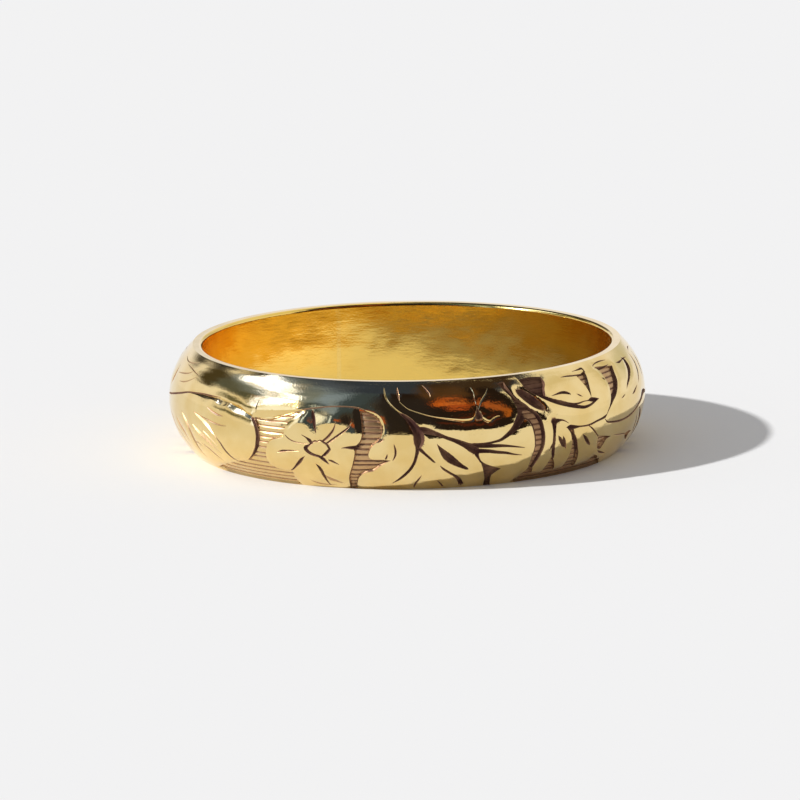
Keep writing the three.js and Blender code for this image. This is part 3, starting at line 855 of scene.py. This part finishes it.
class Nodes:
    """The nodes of a material or world, and short ways to add more."""

    def __init__(self, owner):
        owner.use_nodes = True
        self.tree = owner.node_tree

    def __getitem__(self, name):
        return self.tree.nodes[name].inputs

    def give(self, socket, value):
        """Links a node's output to a socket, or sets the socket to a plain value."""
        if isinstance(value, bpy.types.NodeSocket):
            self.tree.links.new(value, socket)
        else:
            socket.default_value = value

    def add(self, kind, output, inputs, **settings):
        """A new node's output, with its inputs given by name or number."""
        node = self.tree.nodes.new("ShaderNode" + kind)
        for setting, value in settings.items():
            setattr(node, setting, value)
        for socket, value in inputs.items():
            self.give(node.inputs[socket], value)
        return node.outputs[output]

    def stored(self, attribute, output="Fac"):
        return self.add("Attribute", output, {}, attribute_name=attribute)

    def mapped(self, value, low, high, to_low=0, to_high=1):
        return self.add("MapRange", "Result", dict(enumerate((value, low, high, to_low, to_high))))

    def mixed(self, factor, *colours):
        first, second = ((*c, 1) if isinstance(c, tuple) else c for c in colours)
        return self.add("Mix", 2, {"Factor": factor, 6: first, 7: second}, data_type="RGBA")

    def maths(self, operation, *values):
        return self.add("Math", 0, dict(enumerate(values)), operation=operation)

    def noise(self, cycles, detail, stretch=(1, 1, 1)):
        place = self.add("TexCoord", "Object", {})
        place = self.add("Mapping", "Vector", {"Vector": place, "Scale": stretch})
        return self.add("TexNoise", "Fac", {"Vector": place, "Scale": cycles, "Detail": detail})

    def patches(self, cycles, detail, begin, full, to_low=0, to_high=1):
        """A value that is to_low over the surface and to_high in soft-edged patches."""
        return self.mapped(self.noise(cycles, detail), begin, full, to_low, to_high)

    def bumped(self, height, depth, strength, *over):
        """The normal with a fine relief, over another such normal if one is given."""
        inputs = {"Height": height, "Distance": depth, "Strength": strength}
        return self.add("Bump", "Normal", inputs | {"Normal": normal for normal in over})


def gold(name, polished, tarnish, inner, stain, grime):
    """Polished gold: deeper in colour inside the ring, a painted warm glow that stands for light
    bouncing round the hole, stained brown where a little grime is held, dark and dull where
    much is, and finely scratched all over."""
    material = bpy.data.materials.new(name)
    nodes = Nodes(material)
    shader = nodes["Principled BSDF"]
    inside = nodes.stored("inside")
    # how much grime is held; in the two faint cuts beside the flower's lowest petal its brown stain is
    # painted shade
    patchy = nodes.patches(*GRIME_PATCHES, THIN_GRIME, 1)
    dirty = nodes.maths("MULTIPLY", nodes.stored("grime"), patchy)

    outside = nodes.mixed(nodes.patches(*TARNISH_PATCHES), polished, tarnish)
    # the inside's deeper gold is painted: a warm glow that stands for light bouncing round the hole
    clean = nodes.mixed(inside, outside, inner)
    stained = nodes.mixed(nodes.mapped(dirty, 0, HALF_DIRTY), clean, stain)
    colour = nodes.mixed(nodes.mapped(dirty, HALF_DIRTY, 1), stained, grime)
    nodes.give(shader["Base Color"], colour)
    nodes.give(shader["Metallic"], nodes.mapped(dirty, 0, 1, 1, GRIME_METALLIC))

    worn = nodes.patches(*WORN_PATCHES, *POLISHED_ROUGHNESS)
    rubbed = nodes.maths("MULTIPLY_ADD", inside, INSIDE_ROUGHER, worn)
    nodes.give(shader["Roughness"], nodes.maths("MULTIPLY_ADD", dirty, GRIME_ROUGHER, rubbed))

    uneven = nodes.maths("MULTIPLY", inside, nodes.noise(*UNEVEN))
    normal = nodes.bumped(nodes.noise(*SCRATCHES), *SCRATCH_RELIEF)
    normal = nodes.bumped(nodes.noise(*GRAIN), *GRAIN_RELIEF, normal)
    nodes.give(shader["Normal"], nodes.bumped(uneven, *UNEVEN_RELIEF, normal))
    return material


def floor_material():
    material = bpy.data.materials.new("pale_floor")
    nodes = Nodes(material)
    shader = nodes["Principled BSDF"]
    nodes.give(shader["Base Color"], (0.84, 0.838, 0.835, 1))
    nodes.give(shader["Roughness"], 0.9)
    nodes.give(shader["Specular IOR Level"], 0.0)
    return material


# ---------------- the pieces

# inner: a deeper gold for the inside, painted to stand for the warm light bouncing round the hole
gold_strip = gold("gold_strip", polished=(0.87, 0.67, 0.31), tarnish=(0.8, 0.58, 0.225),
                  inner=(0.83, 0.58, 0.145), stain=(0.5, 0.295, 0.15),
                  grime=(0.095, 0.038, 0.03))
gold_solder = gold("gold_solder", polished=(0.85, 0.68, 0.36), tarnish=(0.78, 0.6, 0.27),
                   inner=(0.82, 0.595, 0.18), stain=(0.5, 0.305, 0.17),
                   grime=(0.105, 0.045, 0.036))

band = engraved_piece("engraved_band", SEAM_U + SEAM_HALF + SEAM_CLEARANCE - ROUND,
                      SEAM_U - SEAM_HALF - SEAM_CLEARANCE)
band.data.materials.append(gold_strip)
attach(band, "root")
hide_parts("band")

solder_half = SEAM_HALF + SEAM_CLEARANCE - FUSED
solder = engraved_piece("engraved_solder_seam", SEAM_U - solder_half, SEAM_U + solder_half)
solder.data.materials.append(gold_solder)
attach(solder, "root")
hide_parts("solder_seam")


# ---------------- floor, light, camera

FLOOR_HALF = 3.0
SUN_FROM = (-0.82, -0.25, 0.57)
SUN_STRENGTH = 3.5
SUN_ANGLE = math.radians(2.0)
AMBIENT = 0.45
AMBIENT_COLOUR = (0.98, 0.98, 1.0, 1)
FLOOR_SEEN = 0.85  # the floor's brightness, so that the horizon hardly shows

CAMERA_DISTANCE = 0.260  # from the middle of the ring
CAMERA_ELEVATION = math.radians(11.36)
CAMERA_ROLL = math.radians(0.82)
AIM_LEFT, AIM_BELOW = 0.00031, 0.00034  # the camera looks this far from the ring's middle
SENSOR, LENS = 36, 276  # millimetres

ROOM_RADIUS = 1.0
ROOM_STEP = 1.5  # degrees between points of the dome
ROOM_FOOT = -3  # it reaches a little below the horizon
NEARLY_OVERHEAD = 89.9

# What the gold mirrors above the horizon: a bright room, then darker and brighter things in
# it, each drawn over the ones before. Azimuth from the camera's side, + to the right, and
# elevation, in degrees: (azimuth, elevation, half width, half height, soft edge, colour).
ROOM_COLOUR = (0.95, 0.95, 1.0)
ROOM = [
    (-8, 78, 112, 26, 3, (0.035, 0.052, 0.12)),  # ceiling
    (-85, 64, 34, 7, 6, (0.07, 0.1, 0.22)),  # lighter where the window lights it
    (62, 70, 45, 12, 5, (0.05, 0.035, 0.03)),
    (-40, 29, 22, 33, 4, (0.05, 0.08, 0.15)),  # front, left
    (-56, 50, 14, 9, 7, (0.24, 0.36, 0.72)),
    (27, 28, 42, 36, 2, (0.02, 0.014, 0.015)),  # front
    (30, 62, 20, 8, 7, (0.09, 0.05, 0.03)),
    (-5, 30, 17, 26, 5, (0.025, 0.022, 0.03)),
    (-92, 44, 32, 15, 5, (0.2, 0.28, 0.5)),  # the wall round the windows
    (-148, 60, 36, 16, 5, (0.04, 0.04, 0.06)),  # dark furniture on the left
    (-155, 40, 22, 14, 5, (0.04, 0.04, 0.05)),
    (-160, 24, 15, 10, 5, (0.05, 0.045, 0.04)),
    (-127, 25, 9, 10, 3, (0.07, 0.06, 0.035)),
    (-105, 28, 16, 6, 4, (0.1, 0.12, 0.13)),
    (-92, 12, 14, 4, 3, (0.15, 0.16, 0.13)),
    (-99, 46, 19, 7, 2, (2.6, 3.2, 6.0)),  # windows
    (-77, 34, 9, 13, 2, (2.6, 3.2, 6.0)),
    (-88, 41, 22, 1.2, 1.5, (0.3, 0.3, 0.4)),  # their bars
    (-97, 49, 16, 0.6, 1.2, (0.6, 0.45, 0.5)),
    (-76, 31, 14, 1, 1.5, (0.5, 0.35, 0.35)),
    (-74, 25, 12, 0.6, 1.2, (0.4, 0.4, 0.5)),
    (-83, 38, 1, 20, 1.5, (0.4, 0.38, 0.45)),
    (-66, 13, 9, 10, 4, (1.2, 1.4, 2.0)),
    (-47, 18, 2.5, 15, 2, (1.0, 1.3, 2.1)),
    (27, 53, 7, 2.5, 1.5, (0.45, 0.12, 0.04)),  # warm red-brown things
    (19, 45, 4, 5, 1.5, (0.6, 0.15, 0.03)),
    (28, 44, 7, 3, 1.5, (0.58, 0.17, 0.05)),
    (29, 37, 7, 3, 1.5, (0.45, 0.1, 0.03)),
    (43, 37, 3.5, 6, 1.5, (0.42, 0.12, 0.04)),
    (48, 30, 3.5, 6, 1.5, (0.4, 0.12, 0.04)),
    (52, 21, 3, 5, 1.5, (0.45, 0.14, 0.03)),
    (30, 16, 14, 2, 2, (0.1, 0.025, 0.015)),
    (-27, 15, 6, 4, 2, (0.5, 0.13, 0.04)),
    (128, 22, 8, 12, 6, (0.74, 0.72, 0.62)),  # duller walls on the right
    (100, 44, 14, 7, 6, (0.78, 0.75, 0.65)),
    (152, 12, 14, 7, 5, (0.66, 0.66, 0.55)),
]


def add_floor():
    mesh = bpy.data.meshes.new("floor")
    half = FLOOR_HALF
    mesh.from_pydata([(-half, -half, 0), (half, -half, 0), (half, half, 0), (-half, half, 0)],
                     [], [(0, 1, 2, 3)])
    mesh.materials.append(floor_material())
    floor = add_object("floor", mesh)


def add_sun():
    sun = bpy.data.lights.new("sun", "SUN")
    sun.energy = SUN_STRENGTH
    sun.angle = SUN_ANGLE
    add_object("sun", sun).rotation_euler = Vector(SUN_FROM).to_track_quat("Z", "Y").to_euler()


def room_colours(azimuth, elevation):
    """The room's colour in each direction, as rows of four numbers."""
    colours = np.tile(ROOM_COLOUR, (len(azimuth), 1))
    for middle, height, half_width, half_height, soft, colour in ROOM:
        across = (half_width - np.abs(azimuth - middle)) / soft
        up = (half_height - np.abs(elevation - height)) / soft
        cover = (np.minimum(across, up) / 2 + 0.5).clip(0, 1)
        cover = (cover * cover * (3 - 2 * cover))[:, None]
        colours = colours * (1 - cover) + np.array(colour) * cover
    return np.hstack([colours, np.ones((len(azimuth), 1))])


def room_mesh():
    """A dome of small faces, with the room's colours at its points."""
    azimuths = np.arange(-180, 180, ROOM_STEP)
    elevations = np.arange(ROOM_FOOT, 90 + ROOM_STEP, ROOM_STEP)
    az, el = (a.ravel() for a in np.meshgrid(azimuths, elevations))
    turn, tilt = np.radians(az), np.radians(el.clip(None, NEARLY_OVERHEAD))
    places = ROOM_RADIUS * np.stack([np.cos(tilt) * np.sin(turn), -np.cos(tilt) * np.cos(turn),
                                     np.sin(tilt)], 1)
    across, rows = len(azimuths), len(elevations)
    quads = [(j * across + i, j * across + (i + 1) % across,
              (j + 1) * across + (i + 1) % across, (j + 1) * across + i)
             for j in range(rows - 1) for i in range(across)]
    mesh = bpy.data.meshes.new("room")
    mesh.from_pydata(places, [], quads)
    colour = mesh.color_attributes.new("room_colour", "FLOAT_COLOR", "POINT")
    colour.data.foreach_set("color", room_colours(az, el).ravel())
    return mesh


def glowing(name, attribute):
    """A material that glows in the colours stored on its mesh."""
    material = bpy.data.materials.new(name)
    nodes = Nodes(material)
    nodes.tree.nodes.remove(nodes.tree.nodes["Principled BSDF"])
    glow = nodes.add("Emission", 0, {"Color": nodes.stored(attribute, "Color")})
    nodes.give(nodes["Material Output"]["Surface"], glow)
    material.cycles.emission_sampling = "NONE"
    return material


def add_room():
    """Surroundings that only mirror reflections see."""
    room = add_object("room", room_mesh())
    room.data.materials.append(glowing("room", "room_colour"))
    room.visible_camera = False
    room.visible_diffuse = False
    room.visible_shadow = False


def add_world():
    """Soft light from all round, which the camera sees as pale as the floor."""
    world = bpy.data.worlds.new("studio")
    nodes = Nodes(world)
    nodes.tree.nodes.remove(nodes.tree.nodes["Background"])
    light = nodes.add("Background", 0, {"Color": AMBIENT_COLOUR, "Strength": AMBIENT})
    seen = nodes.add("Background", 0, {"Color": (1, 1, 1, 1), "Strength": FLOOR_SEEN})
    by_camera = nodes.add("LightPath", "Is Camera Ray", {})
    either = nodes.add("MixShader", 0, {0: by_camera, 1: light, 2: seen})
    nodes.give(nodes["World Output"]["Surface"], either)
    bpy.context.scene.world = world


def add_camera():
    middle = Vector((0, 0, HALF_WIDTH * MM))
    back = Vector((0, -math.cos(CAMERA_ELEVATION), math.sin(CAMERA_ELEVATION)))
    up = Vector((0, math.sin(CAMERA_ELEVATION), math.cos(CAMERA_ELEVATION)))
    data = bpy.data.cameras.new("camera")
    data.sensor_width = SENSOR
    data.lens = LENS
    data.clip_start, data.clip_end = 0.01, 10
    camera = add_object("camera", data)
    camera.location = middle + CAMERA_DISTANCE * back
    aim = middle - Vector((AIM_LEFT, 0, 0)) - AIM_BELOW * up
    look = (aim - camera.location).to_track_quat("-Z", "Y")
    camera.rotation_euler = (look @ Quaternion((0, 0, 1), -CAMERA_ROLL)).to_euler()
    bpy.context.scene.camera = camera


add_floor()
add_world()
add_room()
add_sun()
add_camera()
bpy.context.scene.view_settings.view_transform = "Standard"
bpy.context.scene.cycles.max_bounces = 16
bpy.context.scene.cycles.glossy_bounces = 12
